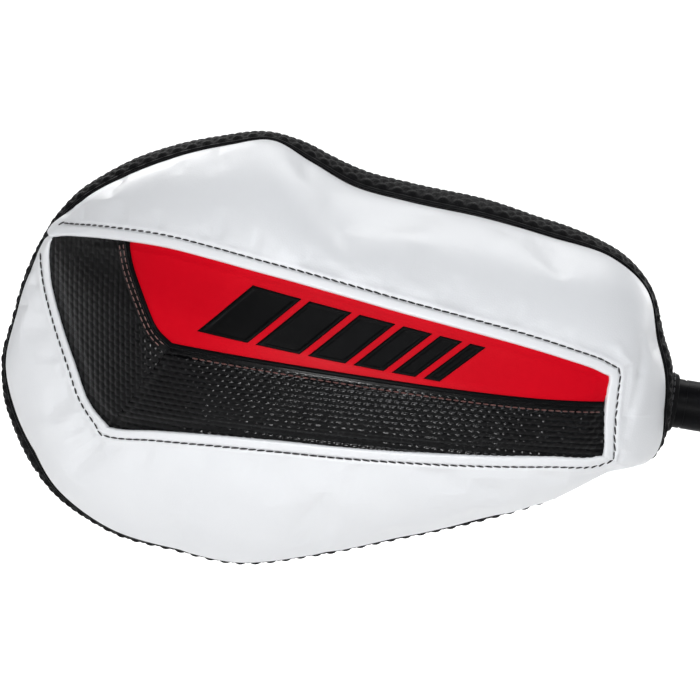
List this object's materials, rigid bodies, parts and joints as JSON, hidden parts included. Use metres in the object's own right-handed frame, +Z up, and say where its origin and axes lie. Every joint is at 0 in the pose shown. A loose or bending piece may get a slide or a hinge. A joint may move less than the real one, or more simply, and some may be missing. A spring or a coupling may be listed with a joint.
{
  "type": "handlebar hand guard",
  "caption": "Padded fabric hand guard clamped on a stub of 22.2 mm handlebar, open at the back for the hand.",
  "frame": {"origin": "centre of the bar tube's free inboard end face", "axes": "+X along the bar and out of its free inboard end, +Z up, +Y towards the rider and the open back"},
  "size_m": [0.3399, 0.1388, 0.1903],
  "materials": {
    "bar_black": "matte black powder coat",
    "plug_plastic": "matte",
    "clamp_metal": "black anodised, satin",
    "arm_steel": "black powder coat",
    "screw_steel": "satin",
    "stiffener_plastic": "matte polyethylene",
    "foam": "closed-cell foam, matte",
    "white_vinyl": "smooth coated vinyl, satin",
    "red_vinyl": "smooth coated vinyl, satin",
    "textured_vinyl": "embossed weave pattern, glossy",
    "black_piping": "satin",
    "emblem_rubber": "moulded rubber, matte",
    "embossed_fabric": "foam-backed fabric with embossed diamonds",
    "lining_fabric": "brushed tricot, matte",
    "binding_tape": "woven tape",
    "cuff_fabric": "neoprene with a stitched edge",
    "tab_webbing": "woven webbing",
    "loop_tape": "loop pile",
    "hook_tape": "moulded hooks"
  },
  "bodies": {
    "bar": {"bar_tube": "bar_black", "bar_end_plug": "plug_plastic"},
    "guard": {"clamp_base": "clamp_metal", "clamp_cap": "clamp_metal", "clamp_screws": "screw_steel", "support_arm": "arm_steel", "arm_screws": "screw_steel", "stiffener_plate": "stiffener_plastic", "foam_front": "foam", "foam_top": "foam", "foam_bottom": "foam", "foam_outboard": "foam", "foam_inboard": "foam", "insert_foam": "foam", "upper_cover": "white_vinyl", "lower_cover": "white_vinyl", "colour_panel": "red_vinyl", "textured_side_panel": "textured_vinyl", "textured_lower_panel": "textured_vinyl", "panel_piping": "black_piping", "emblem": "emblem_rubber", "seam_piping": "black_piping", "gusset_top": "embossed_fabric", "gusset_bottom": "embossed_fabric", "gusset_outboard": "embossed_fabric", "gusset_inboard": "embossed_fabric", "lining_front": "lining_fabric", "lining_upper": "lining_fabric", "lining_lower": "lining_fabric", "opening_binding": "binding_tape", "bar_cuff": "cuff_fabric", "loop_patch": "loop_tape"},
    "tab": {"closure_tab": "tab_webbing", "hook_patch": "hook_tape"}
  },
  "joints": [
    {"name": "guard_tilt", "type": "hinge", "parent": "bar", "child": "guard", "pos_m": [-0.074, 0, 0], "axis": [1, 0, 0], "range_deg": [-25, 25]},
    {"name": "tab_peel", "type": "hinge", "parent": "guard", "child": "tab", "pos_m": [-0.0508, 0.019, 0.0228], "axis": [0, 1, 0], "range_deg": [-100, 0]}
  ]
}
